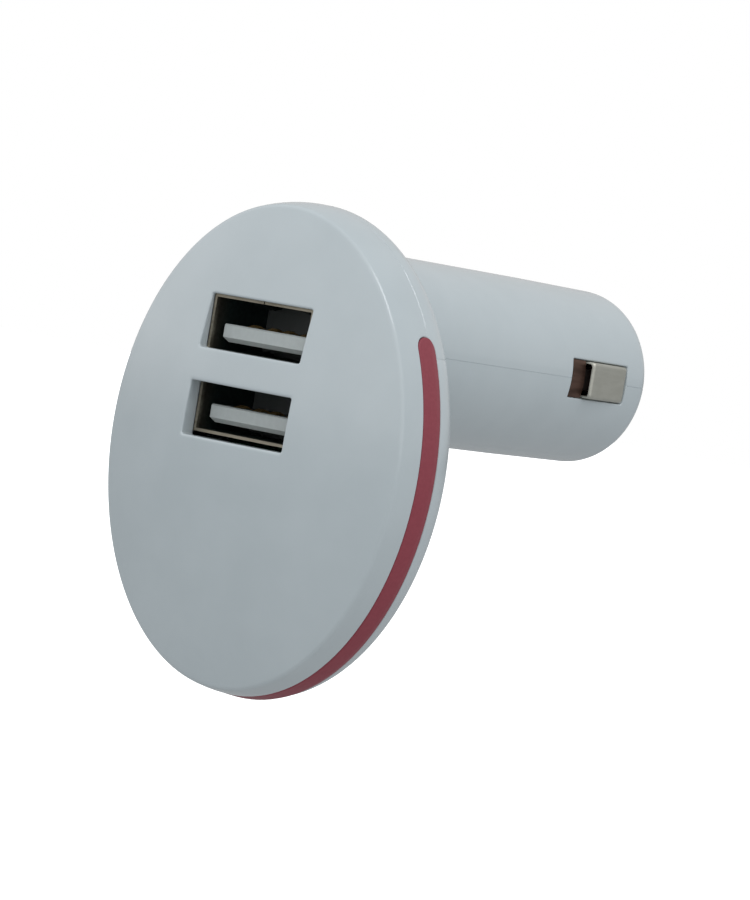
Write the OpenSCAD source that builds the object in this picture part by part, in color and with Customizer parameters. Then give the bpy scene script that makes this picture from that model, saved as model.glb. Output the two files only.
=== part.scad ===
// Car charger plug with two USB sockets, for a 21 mm accessory socket.
// Frame: the plug goes into the car's socket along +Y and its face looks along -Y.
// +Z is up and +X is to the right, seen from the front.
// The origin is on the barrel's axis, on the shoulder that seats on the car's socket.

/* [Head] */
// Half width of the oval head at the seam, mm
head_half_width = 19.75; // [18.5:0.25:22]
// Height of the oval divided by its width
oval_ratio = 1.3; // [1.2:0.05:1.35]
// Height of the head's top above the barrel's axis
head_top = 13.6; // [13.2:0.1:14.2]
// Radius of the domed face, across the width
dome_radius = 50.3; // [45:1:70]
// Depth of the front cover, from the seam to the top of its dome
cover_depth = 8.5; // [8.2:0.1:9.5]
// Radius of the bowed side of the front cover
side_bow_radius = 20.5; // [20:0.5:40]
// Depth of the rear half of the head, behind the seam
rear_depth = 5.8; // [5.6:0.1:7]
// Rounding where the side turns into the flat back
rear_round = 5; // [3.5:0.25:5.2]
// Thickness of the domed face
face_wall = 1.6; // [1.3:0.1:1.8]
// Thickness of the head's side walls
side_wall = 1.6; // [1.5:0.1:1.8]
// Thickness of the head's back wall
back_wall = 1.2; // [1:0.1:1.3]
// Rounding of the edge between the face and the side
crease_round = 0.6; // [0.4:0.1:1]

/* [Trim band] */
// Width of the coloured band
band_width = 2.58; // [2:0.1:3]
// How much of the band lies behind the seam
band_behind_seam = 0.76; // [0.5:0.1:1]
// How far the band stands proud of the side
band_proud = 0.15; // [0.05:0.05:0.3]
// Depth of the groove that the band lies in
band_groove = 0.85; // [0.7:0.05:0.9]
// Height of the band's two ends, above the barrel's axis
band_end_height = 1.9; // [1.3:0.1:2.8]

/* [Barrel] */
// Radius of the plain stretch behind the shoulder
barrel_radius = 9.75; // [9.6:0.05:10.1]
// Length of the barrel, from the shoulder to its flat end
barrel_length = 43.9; // [43:0.1:46]
// How much thinner the barrel is at its end
barrel_taper = 0.1; // [0.05:0.05:0.2]
// Thickness of the barrel's wall
barrel_wall = 1.4; // [1.2:0.1:1.5]
// Thickness of the wall at the barrel's end
nose_wall = 2; // [1.6:0.1:2.4]
// Rounding of the barrel's end edge
nose_round = 2.2; // [1.5:0.1:2.5]
// Height of the shoulder ring, from the head's back
shoulder_height = 1; // [0.6:0.1:1.2]
// How far the shoulder ring stands out from the barrel
shoulder_step = 0.9; // [0.6:0.1:1.2]

/* [USB sockets] */
// Width of an opening in the face
port_width = 13.4; // [13.3:0.1:13.8]
// Height of an opening in the face
port_height = 5.6; // [5.5:0.1:5.8]
// Distance between the two openings' centres
port_pitch = 9.1; // [9:0.1:9.4]
// Outside width of a folded can
can_width = 13.2; // [13.1:0.05:13.3]
// Outside height of a folded can
can_height = 5.9; // [5.8:0.05:6]
// Distance between the two cans' centres
can_pitch = 8.35; // [8.2:0.05:8.5]
// How far the upper can's centre lies below the barrel's axis
can_drop = 0.15; // [0.1:0.05:0.25]
// Depth of a can
can_depth = 9.4; // [9:0.1:9.6]
// Thickness of a can's sheet
can_sheet = 0.3; // [0.25:0.05:0.35]
// How far the cans' front edges lie in front of the seam
can_front = 6.35; // [6:0.05:6.5]
// Width of a tongue
tongue_width = 11.1; // [10.8:0.1:11.3]
// Thickness of a tongue
tongue_thickness = 1.84; // [1.7:0.02:1.95]
// Space between a tongue's underside and its can
tongue_lift = 0.87; // [0.8:0.01:1]
// How far a tongue's front lies behind its can's front edge
tongue_recess = 1; // [0.8:0.1:1.5]

/* [Circuit boards] */
// Thickness of both boards
board_thickness = 1; // [0.8:0.1:1.1]
// Half width of the main board
board_half_width = 7.1; // [6.9:0.05:7.15]
// Depth of the main board's top below the barrel's axis
board_drop = 3.2; // [3.15:0.05:3.25]
// Share of the row of parts that the input capacitor takes
input_cap_share = 0.288; // [0.26:0.004:0.292]
// Height of the input capacitor
input_cap_height = 9; // [7:0.5:9.5]
// Share of the row of parts that the output capacitor takes
output_cap_share = 0.227; // [0.2:0.003:0.233]
// Height of the output capacitor
output_cap_height = 7.7; // [5:0.1:8]
// Share of the row of parts that the converter chip takes
ic_share = 0.176; // [0.17:0.001:0.18]
// Height of the inductor
inductor_height = 5; // [4:0.1:6]
// Width of the converter chip's body
ic_width = 4; // [3.8:0.1:4]
// Length of a small chip part
chip_length = 1.6; // [1:0.1:1.8]
// Width of a small chip part
chip_width = 0.8; // [0.5:0.1:1]

/* [Side contacts] */
// Distance from the windows' rear edge to the barrel's end
window_from_end = 4.8; // [4.7:0.05:5]
// Length of a window
window_length = 10.5; // [10.4:0.05:10.7]
// Height of a window
window_height = 4.3; // [4.2:0.05:4.4]
// How far a contact stands out of the barrel at its highest edge
contact_proud = 0.85; // [0.6:0.05:1]
// Travel of a contact into the barrel
contact_travel = 1.15; // [1:0.05:1.2]
// Thickness of a contact's sheet
contact_sheet = 0.3; // [0.25:0.05:0.35]
// Clear space round a contact in its window
contact_gap = 0.15; // [0.1:0.05:0.2]

/* [Tip] */
// Radius of the tip pin
pin_radius = 2.6; // [2:0.1:3]
// How far the tip pin stands out of the barrel
pin_reach = 6; // [5:0.5:8]
// Travel of the tip pin into the barrel
pin_travel = 3.5; // [2:0.25:3.5]
// Running clearance round the tip pin
pin_clearance = 0.08; // [0.05:0.01:0.1]
// Thickness of the pin's flange
flange_thickness = 1.2; // [1:0.1:1.4]
// Length of the tip spring at rest
spring_length = 7.7; // [7.5:0.1:7.9]
// Wire diameter of the tip spring
spring_wire = 0.5; // [0.4:0.05:0.55]
// Turns of the tip spring
spring_turns = 6; // [5:1:6]

/* [Hidden] */

plastic_white = [0.86, 0.88, 0.9];
trim_rose = [0.62, 0.3, 0.36];
nickel = [0.72, 0.7, 0.66];
bronze = [0.5, 0.34, 0.26];
gold = [0.83, 0.66, 0.3];
board_green = [0.1, 0.32, 0.2];
part_black = [0.08, 0.08, 0.09];

// Clearance between pieces that are pushed together by hand
fit_gap = 0.1;
// Overlap by which a cutter passes the face that it opens
cut = 0.5;

// How far the head's centre lies below the barrel's axis
head_drop = head_half_width * oval_ratio - head_top;

back_y = -shoulder_height;
seam_y = back_y - rear_depth;
apex_y = seam_y - cover_depth;
can_front_y = seam_y - can_front;
can_back_y = can_front_y + can_depth;
usb_board_back_y = can_back_y + board_thickness;
back_inner_y = back_y - back_wall;
port_z = [0, -port_pitch];
can_z = [-can_drop, -can_drop - can_pitch];
bore_radius = barrel_radius - barrel_wall;
nose_inner_y = barrel_length - nose_wall;
board_length = nose_inner_y - flange_thickness - spring_length;
end_radius = barrel_radius - barrel_taper;

// Piece of the housing's lip that overlaps the seam
lip_length = 1.4;
lip_radius = head_half_width - band_groove;
lip_inner_radius = head_half_width - side_wall;

board_top_z = -board_drop;
board_bottom_z = board_top_z - board_thickness;
window_end = barrel_length - window_from_end;
window_start = window_end - window_length;
// Length of the plain stretch of the barrel, which is a true cylinder
plain_length = window_start - 0.6;
tongue_z = [for (z = can_z) z - can_height / 2 + can_sheet + tongue_lift];
contact_x = [-3.5, -1, 1, 3.5];
contact_bump = 0.35;

// Spring tabs in the cans' walls, and the slots round them
tab_x = [-3.6, 3.6];
tab_start = 2.6;
tab_length = 3.6;
tab_dip = 0.5;
tab_width = 1.8;
tab_slot = 0.4;

// Upright board, its pads and the slot for the main board's tab
usb_board_half_width = can_width / 2 + 3;
usb_board_low_z = can_z[1] - can_height / 2 - 1.2;
tab_half_width = 4;

// Places of the parts on the main board, from both of its ends to the inductor
part_gap = 0.4;
board_start = 0.6;
bracket_foot = 2.6;
parts_row = board_length - board_start - bracket_foot - 5 * part_gap;
input_cap_diameter = parts_row * input_cap_share;
output_cap_diameter = parts_row * output_cap_share;
ic_length = parts_row * ic_share;
output_cap_y = board_start + part_gap + output_cap_diameter / 2;
input_cap_y = board_length - bracket_foot - part_gap - input_cap_diameter / 2;
ic_x = -ic_width / 2 - 0.6;
ic_y = input_cap_y - input_cap_diameter / 2 - part_gap - ic_length / 2;
// The inductor fills what is left between the output capacitor and the chip
inductor_start = output_cap_y + output_cap_diameter / 2 + part_gap;
inductor_diameter = ic_y - ic_length / 2 - part_gap - inductor_start;
inductor_y = inductor_start + inductor_diameter / 2;
// Small chip parts under the board, as (x, distance behind the converter chip's centre)
chip_places = [[-4.4, -3.6], [-1.6, -3.6], [4.4, -5], [-4.4, 2.6], [1.2, 2.6]];

// Posts that press on the board, and pegs that line up the two shells
post_y = [output_cap_y, ic_y - 1.2];
peg_y = [plain_length * 0.29, plain_length * 0.82];
peg_radius = 0.5;
peg_length = 1.8;
boss_x = bore_radius - 1.05;

// Ground strips
strip_sheet = 0.3;
strip_half_height = 1.5;
strip_x = bore_radius - 0.45 - contact_travel;
plate_length = 2.3;

// Side contacts, behind the strips' plates
contact_start = window_start + 0.1 + plate_length + 0.2;
contact_end = window_end - contact_gap;
contact_half = window_height / 2 - contact_gap;

// Tip spring, and the spigots inside it, which keep clear of each other when the pin is pressed in
spring_radius = pin_radius + 0.1;
spigot_radius = spring_radius - spring_wire / 2 - 0.25;
spigot_length = (spring_length - pin_travel) / 2 - 0.15;

// Centres of the arcs of the domed face and of the bowed side, as (radius, depth)
dome_centre = [0, apex_y + dome_radius];
side_centre = [head_half_width - side_bow_radius, seam_y];

// Centre of a rounding that touches both arcs from inside
function crease_centre(inset, round_r) =
  let (
    to_dome = dome_radius - inset - round_r,
    to_side = side_bow_radius - inset - round_r,
    step = side_centre - dome_centre,
    apart = norm(step),
    along = (to_dome * to_dome - to_side * to_side + apart * apart) / (2 * apart),
    off = sqrt(to_dome * to_dome - along * along)
  )
  dome_centre + step * along / apart + [-step[1], step[0]] * off / apart;
// Half width of a round space at a height from its axis
function chord(r, z) = sqrt(r * r - z * z);

// Turns what points up so that it points along +Y
module along_y(y = 0) {
  translate([0, y, 0])
    rotate([-90, 0, 0])
      children();
}

// Box between two opposite corners
module box(low, high) {
  translate(low)
    cube([high[0] - low[0], high[1] - low[1], high[2] - low[2]]);
}

// Spins a profile (radius, depth) and stretches it to the oval of the head
module head_spin() {
  translate([0, 0, -head_drop])
    scale([1, 1, oval_ratio])
      rotate([-90, 0, 0])
        rotate_extrude($fn = 120)
          children();
}

// Spins a profile (radius, depth) about the barrel's axis
module barrel_spin() {
  rotate([-90, 0, 0])
    rotate_extrude($fn = 96)
      children();
}

// Profile of the front cover's outside: dome, bowed side and the rounded edge between them
module cover_profile(inset, round_r) {
  middle = crease_centre(inset, round_r);
  // the rounding touches the dome at a and the side at b
  a = dome_centre + (middle - dome_centre) * (dome_radius - inset) / norm(middle - dome_centre);
  b = side_centre + (middle - side_centre) * (side_bow_radius - inset) / norm(middle - side_centre);
  lean = (b[0] - a[0]) / (b[1] - a[1]);
  top_y = apex_y - 1;
  far_r = head_half_width + 1;
  intersection() {
    translate(dome_centre)
      circle(dome_radius - inset, $fn = 720);
    translate(side_centre)
      circle(side_bow_radius - inset, $fn = 360);
    union() {
      polygon([
        [0, top_y],
        [a[0] - (a[1] - top_y) * lean, top_y],
        [far_r, b[1] + (far_r - b[0]) / lean],
        [far_r, seam_y + cut],
        [0, seam_y + cut]
      ]);
      translate(middle)
        circle(round_r, $fn = 72);
    }
  }
}

// Profile of the head behind the seam, with its rounded back edge
module rear_profile(inset, wall) {
  half = head_half_width - inset;
  depth = back_y - wall;
  round_r = rear_round - max(inset, wall);
  translate([0, seam_y])
    square([half, depth - round_r - seam_y]);
  translate([0, depth - round_r - 0.01])
    square([half - round_r, round_r + 0.01]);
  intersection() {
    translate([half - round_r, depth - round_r])
      circle(round_r, $fn = 180);
    translate([half - round_r, depth - round_r])
      square(round_r + cut);
  }
}

// Profile of the barrel, with its shoulder ring, taper and rounded end
module barrel_profile() {
  inner_end = barrel_length - nose_round;
  translate([0, back_y - back_wall])
    square([barrel_radius, plain_length - back_y + back_wall]);
  translate([0, back_y - back_wall])
    square([barrel_radius + shoulder_step, back_wall + shoulder_height]);
  polygon([
    [0, plain_length], [barrel_radius, plain_length], [end_radius, inner_end], [0, inner_end]
  ]);
  translate([0, inner_end])
    square([end_radius - nose_round, nose_round]);
  intersection() {
    translate([end_radius - nose_round, inner_end])
      circle(nose_round, $fn = 120);
    translate([end_radius - nose_round, inner_end])
      square(nose_round + cut);
  }
}

// Part of the side that lies below the band's two rounded ends
module below_band_ends(gap) {
  half = band_width / 2 + gap;
  middle_y = seam_y + band_behind_seam - band_width / 2;
  reach = head_half_width + 2;
  box(
    [-reach, middle_y - half, -3 * reach],
    [reach, middle_y + half, band_end_height - band_width / 2]
  );
  translate([-reach, middle_y, band_end_height - band_width / 2])
    rotate([0, 90, 0])
      cylinder(r = half * 1.04, h = 2 * reach, $fn = 64);
}

// Ring of the side that the band fills, or its groove when gap is more than zero
module band_ring(gap, proud) {
  front_y = seam_y + band_behind_seam - band_width - gap;
  intersection() {
    head_spin()
      difference() {
        intersection() {
          translate([head_half_width - side_bow_radius, seam_y])
            circle(side_bow_radius + proud, $fn = 360);
          translate([0, front_y])
            square([head_half_width + 2, band_width + 2 * gap]);
        }
        translate([0, front_y - cut])
          square([lip_radius + fit_gap / 2 - gap / 2, band_width + 2 * cut + 2 * gap]);
      }
    below_band_ends(gap);
  }
}

// Frame behind the face that locates both cans
module can_pocket_frame() {
  reach_x = can_width / 2 + fit_gap + 1;
  top = can_z[0] + can_height / 2 + fit_gap + 1;
  bottom = can_z[1] - can_height / 2 - fit_gap - 1;
  reach_y = can_front_y + can_depth * 0.37;
  box([-reach_x, apex_y + 0.4, bottom], [reach_x, reach_y, top]);
}

// Moulded front cover: domed face, bowed side, two openings and the lip at the seam
module front_cover() {
  color(plastic_white)
    difference() {
      union() {
        difference() {
          head_spin()
            intersection() {
              cover_profile(0, crease_round);
              translate([0, apex_y - 1])
                square([head_half_width + 1, cover_depth + 1]);
            }
          head_spin()
            difference() {
              cover_profile(side_wall, 1);
              translate([0, apex_y - 1])
                square([head_half_width, face_wall - side_wall + 1.001]);
            }
        }
        head_spin()
          translate([lip_inner_radius, seam_y - 1])
            square([lip_radius - lip_inner_radius - fit_gap / 2, 1 + lip_length]);
        intersection() {
          can_pocket_frame();
          head_spin()
            cover_profile(0.8, crease_round);
        }
      }
      for (z = port_z)
        box(
          [-port_width / 2, apex_y - 1, z - port_height / 2],
          [port_width / 2, can_front_y + cut, z + port_height / 2]
        );
      for (z = can_z)
        box(
          [-can_width / 2 - fit_gap, can_front_y, z - can_height / 2 - fit_gap],
          [can_width / 2 + fit_gap, seam_y, z + can_height / 2 + fit_gap]
        );
      band_ring(0.05, 2);
    }
}

// Coloured band that runs round the lower side of the head, over the seam
module trim_band() {
  color(trim_rose)
    band_ring(0, band_proud);
}

// Windows for the two side contacts
module contact_windows() {
  for (side = [-1, 1])
    box(
      [side * (bore_radius + barrel_radius) / 2 - barrel_wall, window_start, -window_height / 2],
      [side * (bore_radius + barrel_radius) / 2 + barrel_wall, window_end, window_height / 2]
    );
}

// Hollow of the head behind the seam, and of the barrel
module housing_hollow() {
  head_spin() {
    rear_profile(side_wall, back_wall);
    translate([0, seam_y - cut])
      square([lip_radius + fit_gap / 2, lip_length + fit_gap + cut]);
  }
  barrel_spin()
    translate([0, back_y - back_wall - cut])
      square([bore_radius, nose_inner_y - back_y + back_wall + cut]);
}

// Head's rear half and barrel, before they are parted into two shells
module housing() {
  difference() {
    union() {
      head_spin()
        rear_profile(0, 0);
      barrel_spin()
        barrel_profile();
    }
    housing_hollow();
    contact_windows();
    along_y(nose_inner_y - cut)
      cylinder(r = pin_radius + pin_clearance, h = nose_wall + 2 * cut, $fn = 64);
    band_ring(0.05, 2);
    parting_groove();
  }
}

// Fine bevel along the parting line of the barrel
module parting_groove() {
  for (side = [-1, 1])
    translate([side * barrel_radius, 0, 0])
      rotate([0, 45, 0])
        translate([-0.1, 0, -0.1])
          cube([0.2, barrel_length, 0.2]);
}

// Half space above (side = 1) or below (side = -1) the barrel's axis
module half_space(side) {
  far = 60;
  if (side > 0)
    box([-far, -far, 0], [far, far, far]);
  else
    box([-far, -far, -far], [far, far, 0]);
}

// Keeps of its children what lies in the bore, sunk a little into its wall
module in_bore() {
  intersection() {
    children();
    along_y()
      cylinder(r = bore_radius + 0.1, h = barrel_length, $fn = 96);
  }
}

// Box on the right and above the axis, mirrored to the left (x = -1) or below (side = -1)
module side_box(x, low, high, side) {
  box(
    [min(x * low[0], x * high[0]), low[1], min(side * low[2], side * high[2])],
    [max(x * low[0], x * high[0]), high[1], max(side * low[2], side * high[2])]
  );
}

// Ribs with slots that hold the far ends of the ground strips
module strip_ribs(side) {
  rib_in = strip_x - 0.75;
  for (x = [-1, 1])
    difference() {
      in_bore()
        side_box(x, [rib_in, window_end + 1, 0], [barrel_radius, nose_inner_y + 0.2, 3], side);
      side_box(
        x, [strip_x - 0.05, window_end, -cut],
        [strip_x + strip_sheet + 0.05, nose_inner_y - 0.3, strip_half_height + 0.1], side
      );
    }
}

// Guide ribs beside a contact's flanges
module contact_guides(side) {
  z = strip_half_height + 1.55;
  start_y = side > 0 ? window_start + 0.4 : board_length + 0.3;
  in_bore()
    for (x = [-1, 1])
      side_box(x, [bore_radius - 2.55, start_y, z], [barrel_radius, window_end + 1.2, z + 0.9], side);
}

// Bosses and pegs that line up the two shells
module peg_bosses(side) {
  boss = 2.8;
  in_bore()
    for (x = [-1, 1], y = peg_y)
      translate([x * boss_x, y, side > 0 ? 0 : -boss])
        cylinder(r = peg_radius + 0.65, h = boss, $fn = 32);
}

// Four upright pins at the pegs' places
module pegs(r, low, high) {
  for (x = [-1, 1], y = peg_y)
    translate([x * boss_x, y, low])
      cylinder(r = r, h = high - low, $fn = 24);
}

// Upper half shell: upper part of the head's rear half and half of the barrel
module upper_shell() {
  color(plastic_white) {
    intersection() {
      housing();
      half_space(1);
    }
    strip_ribs(1);
    contact_guides(1);
    peg_bosses(1);
    board_pads(can_z[0] + can_height / 2 + 0.6);
    pegs(peg_radius, -peg_length, 0.2);
    board_posts();
  }
}

// Posts of the upper shell that press on the main board
module board_posts() {
  post = 1.2;
  x = board_half_width - post;
  in_bore()
    for (side = [-1, 1], y = post_y)
      side_box(side, [x, y, board_top_z], [x + post, y + post, bore_radius], 1);
}

// Ledges of the lower shell that carry the main board
module board_ledges() {
  ledge = 1.2;
  in_bore()
    for (x = [-1, 1])
      side_box(
        x, [board_half_width - 1.7, board_start + 1.4, -board_bottom_z],
        [barrel_radius, board_length - 3, -board_bottom_z + ledge], -1
      );
}

// Pads on the back wall that the upright board rests on
module board_pads(z) {
  pad = 0.8;
  for (x = [-1, 1])
    translate([x * (usb_board_half_width - pad), 0, z])
      box([-pad, usb_board_back_y, -pad], [pad, back_inner_y + 0.2, pad]);
}

// Lower half shell: most of the head's rear half and the other half of the barrel
module lower_shell() {
  color(plastic_white)
    difference() {
      union() {
        intersection() {
          housing();
          half_space(-1);
        }
        strip_ribs(-1);
        contact_guides(-1);
        peg_bosses(-1);
        board_ledges();
        board_pads(usb_board_low_z + 1);
      }
      pegs(peg_radius + fit_gap / 2, -peg_length - 0.2, cut);
    }
}

// Spring tab pressed inwards from a can's wall, drawn under the top wall
module can_tab(x, z, side) {
  y = can_front_y + tab_start;
  bend_y = y + tab_length * 0.7;
  end_y = y + tab_length;
  end_dip = tab_dip * 0.6;
  sheet = can_sheet * 0.67;
  translate([x - tab_width / 2, 0, z + side * (can_height / 2 - can_sheet)])
    rotate([90, 0, 90])
      linear_extrude(tab_width)
        polygon([
          [y, side * can_sheet * 0.8], [y, 0], [bend_y, -side * tab_dip], [end_y, -side * end_dip],
          [end_y, -side * (end_dip - sheet)], [bend_y, -side * (tab_dip - sheet)]
        ]);
}

// Folded steel can of one socket: tube, butt seam, slotted tabs and legs
module usb_can(i) {
  z = can_z[i];
  half_w = can_width / 2;
  half_h = can_height / 2;
  slot_half = tab_width / 2 + tab_slot;
  color(nickel)
    difference() {
      union() {
        difference() {
          box([-half_w, can_front_y, z - half_h], [half_w, can_back_y, z + half_h]);
          box(
            [-half_w + can_sheet, can_front_y - cut, z - half_h + can_sheet],
            [half_w - can_sheet, can_back_y + cut, z + half_h - can_sheet]
          );
          for (x = tab_x)
            box(
              [x - slot_half, can_front_y + tab_start - tab_slot, z - half_h - cut],
              [x + slot_half, can_front_y + tab_start + tab_length + tab_slot, z + half_h + cut]
            );
        }
        for (x = tab_x, side = [-1, 1])
          can_tab(x, z, side);
        for (x = tab_x, side = [-1, 1])
          side_box(
            1, [x - tab_width / 2, can_front_y + tab_start - tab_slot - 0.2, side * z + half_h - can_sheet],
            [x + tab_width / 2, can_front_y + tab_start + 0.1, side * z + half_h], side
          );
        for (x = [-1, 1])
          box(
            [x * (half_w - can_sheet / 2) - can_sheet / 2, can_back_y - cut, z - 0.6],
            [x * (half_w - can_sheet / 2) + can_sheet / 2, usb_board_back_y + 0.4, z + 0.6]
          );
      }
      box(
        [-0.06, can_front_y - cut, z + half_h - can_sheet - 0.2],
        [0.06, can_back_y + cut, z + half_h + cut]
      );
    }
}

module usb_can_upper() {
  usb_can(0);
}

module usb_can_lower() {
  usb_can(1);
}

// Moulded insulator of one socket: base block, tongue with bevelled underside, grooves
module usb_tongue(i) {
  z = can_z[i];
  low = tongue_z[i];
  front = can_front_y + tongue_recess;
  base = can_back_y - 1;
  half_w = can_width / 2 - can_sheet - fit_gap / 2;
  half_h = can_height / 2 - can_sheet - fit_gap / 2;
  bevel = 0.45;
  color([0.9, 0.9, 0.88])
    difference() {
      union() {
        box([-half_w, base, z - half_h], [half_w, can_back_y, z + half_h]);
        intersection() {
          translate([-tongue_width / 2, 0, low])
            rotate([90, 0, 90])
              linear_extrude(tongue_width)
                polygon([
                  [front + bevel, 0], [base + 0.1, 0], [base + 0.1, tongue_thickness],
                  [front + 0.15, tongue_thickness], [front, tongue_thickness - 0.15], [front, bevel]
                ]);
          translate([0, base + 0.2, low])
            rotate([90, 0, 0])
              linear_extrude(can_depth)
                polygon([
                  [-tongue_width / 2 + bevel, 0], [tongue_width / 2 - bevel, 0],
                  [tongue_width / 2, bevel], [tongue_width / 2, tongue_thickness],
                  [-tongue_width / 2, tongue_thickness], [-tongue_width / 2, bevel]
                ]);
        }
      }
      for (x = contact_x)
        box(
          [x - 0.55, front + 0.6, low + tongue_thickness - 0.25],
          [x + 0.55, can_back_y + cut, low + tongue_thickness + 0.05]
        );
    }
}

module usb_tongue_upper() {
  usb_tongue(0);
}

module usb_tongue_lower() {
  usb_tongue(1);
}

// Four gilded springs on a tongue, with their tails through the upright board
module usb_contacts(i) {
  top = tongue_z[i] + tongue_thickness - 0.25;
  front = can_front_y + tongue_recess + 0.65;
  sheet = 0.2;
  tail = usb_board_back_y + 0.4;
  color(gold)
    for (x = contact_x)
      translate([x - 0.45, 0, top])
        rotate([90, 0, 90])
          linear_extrude(0.9)
            polygon([
              [front, 0], [front + 0.9, 0], [front + 2, contact_bump], [front + 3.1, 0], [tail, 0],
              [tail, sheet], [front + 3.2, sheet], [front + 2, contact_bump + sheet],
              [front + 0.8, sheet], [front, sheet]
            ]);
}

module usb_contacts_upper() {
  usb_contacts(0);
}

module usb_contacts_lower() {
  usb_contacts(1);
}

// Upright board that carries both sockets
module usb_board() {
  top_z = can_z[0] + can_height / 2 + 1.4;
  color(board_green)
    difference() {
      box(
        [-usb_board_half_width, can_back_y, usb_board_low_z],
        [usb_board_half_width, usb_board_back_y, top_z]
      );
      for (z = can_z, x = [-1, 1])
        box(
          [x * (can_width / 2 - can_sheet / 2) - 0.25, can_back_y - cut, z - 0.7],
          [x * (can_width / 2 - can_sheet / 2) + 0.25, usb_board_back_y + cut, z + 0.7]
        );
      for (z = tongue_z, x = contact_x)
        box(
          [x - 0.55, can_back_y - cut, z + tongue_thickness - 0.35],
          [x + 0.55, usb_board_back_y + cut, z + tongue_thickness + 0.05]
        );
      box(
        [-tab_half_width - 0.1, can_back_y - cut, board_bottom_z - 0.08],
        [tab_half_width + 0.1, usb_board_back_y + cut, board_top_z + 0.08]
      );
    }
}

// Main board, with a tab through the upright board
module main_board() {
  color(board_green)
    translate([0, 0, board_bottom_z])
      linear_extrude(board_thickness)
        polygon([
          [-tab_half_width, can_back_y - 0.4], [tab_half_width, can_back_y - 0.4],
          [tab_half_width, board_start], [board_half_width, board_start],
          [board_half_width, board_length], [-board_half_width, board_length],
          [-board_half_width, board_start], [-tab_half_width, board_start]
        ]);
}

// Converter chip in a flat eight-lead package
module power_ic() {
  half_w = ic_width / 2;
  half_l = ic_length / 2;
  ic_height = ic_length * 0.32;
  lead = 0.4;
  lead_pitch = ic_length * 0.26;
  color(part_black)
    box(
      [ic_x - half_w, ic_y - half_l, board_top_z + 0.15],
      [ic_x + half_w, ic_y + half_l, board_top_z + ic_height]
    );
  color(nickel)
    for (side = [-1, 1], k = [-1.5 : 1.5])
      translate([ic_x, ic_y + lead_pitch * k + lead / 2, board_top_z])
        rotate([90, 0, 0])
          linear_extrude(lead)
            polygon([
              [side * half_w, 0.7], [side * (half_w + 0.5), 0.7], [side * (half_w + 0.6), 0.2],
              [side * (half_w + 1.1), 0.2], [side * (half_w + 1.1), 0], [side * (half_w + 0.4), 0],
              [side * (half_w + 0.3), 0.5], [side * half_w, 0.5]
            ]);
}

// Ferrite drum of the inductor
module inductor_core() {
  flange = inductor_height * 0.18;
  color([0.2, 0.2, 0.21])
    translate([0, inductor_y, board_top_z]) {
      cylinder(d = inductor_diameter, h = flange, $fn = 64);
      cylinder(d = inductor_diameter * 0.5, h = inductor_height, $fn = 48);
      translate([0, 0, inductor_height - flange])
        cylinder(d = inductor_diameter, h = flange, $fn = 64);
    }
}

// Copper winding of the inductor, its turns shown as rounded ridges
module inductor_coil() {
  turns = 5;
  low = inductor_height * 0.19;
  step = (inductor_height - 2 * low) / turns;
  inner_r = inductor_diameter * 0.256;
  outer_r = inductor_diameter * 0.45;
  valley_r = outer_r - step * 0.4;
  color([0.72, 0.4, 0.22])
    translate([0, inductor_y, board_top_z + low])
      rotate_extrude($fn = 64)
        for (k = [0 : turns - 1])
          polygon([
            [inner_r, k * step], [valley_r, k * step], [outer_r, (k + 0.25) * step],
            [outer_r, (k + 0.75) * step], [valley_r, (k + 1) * step], [inner_r, (k + 1) * step]
          ]);
}

// Electrolytic capacitor: can with its crimp, rounded rim and vent cross
module capacitor(d, h) {
  rim = 0.4;
  difference() {
    rotate_extrude($fn = 64)
      polygon([
        [0, 0], [d / 2 - rim, 0], [d / 2, rim], [d / 2, 1.1], [d / 2 - 0.3, 1.4], [d / 2, 1.7],
        [d / 2, h - rim], [d / 2 - rim, h], [0, h]
      ]);
    for (turn = [0, 90])
      rotate([0, 0, turn])
        box([-d * 0.3, -0.12, h - 0.2], [d * 0.3, 0.12, h + cut]);
  }
}

module input_capacitor() {
  color([0.75, 0.76, 0.78])
    translate([0, input_cap_y, board_top_z])
      capacitor(input_cap_diameter, input_cap_height);
}

module output_capacitor() {
  color([0.75, 0.76, 0.78])
    translate([0, output_cap_y, board_top_z])
      capacitor(output_cap_diameter, output_cap_height);
}

// Flat rectifier with its two bent leads
module diode() {
  half_w = ic_width * 0.325;
  half_l = ic_length * 0.42;
  x = half_w + 1.8;
  color(part_black)
    box(
      [x - half_w, ic_y - half_l, board_top_z + 0.1],
      [x + half_w, ic_y + half_l, board_top_z + 2.2]
    );
  color(nickel)
    for (side = [-1, 1])
      translate([x, ic_y + side * (half_l + 0.15), board_top_z + 0.6])
        cube([1.4, 0.5, 1.2], center = true);
}

// Resettable fuse under the main board
module input_fuse() {
  half_w = input_cap_diameter * 0.29;
  half_l = input_cap_diameter * 0.2;
  color([0.16, 0.36, 0.3])
    box(
      [-half_w, input_cap_y - half_l, board_bottom_z - 1.2],
      [half_w, input_cap_y + half_l, board_bottom_z]
    );
}

// Small chip resistors and capacitors under the main board
module chip_parts() {
  chip_thickness = chip_length * 0.375;
  color([0.62, 0.5, 0.38])
    for (p = chip_places)
      translate([p[0], ic_y + p[1], board_bottom_z])
        box([-chip_width / 2, -chip_length / 2, -chip_thickness], [chip_width / 2, chip_length / 2, 0]);
}

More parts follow.
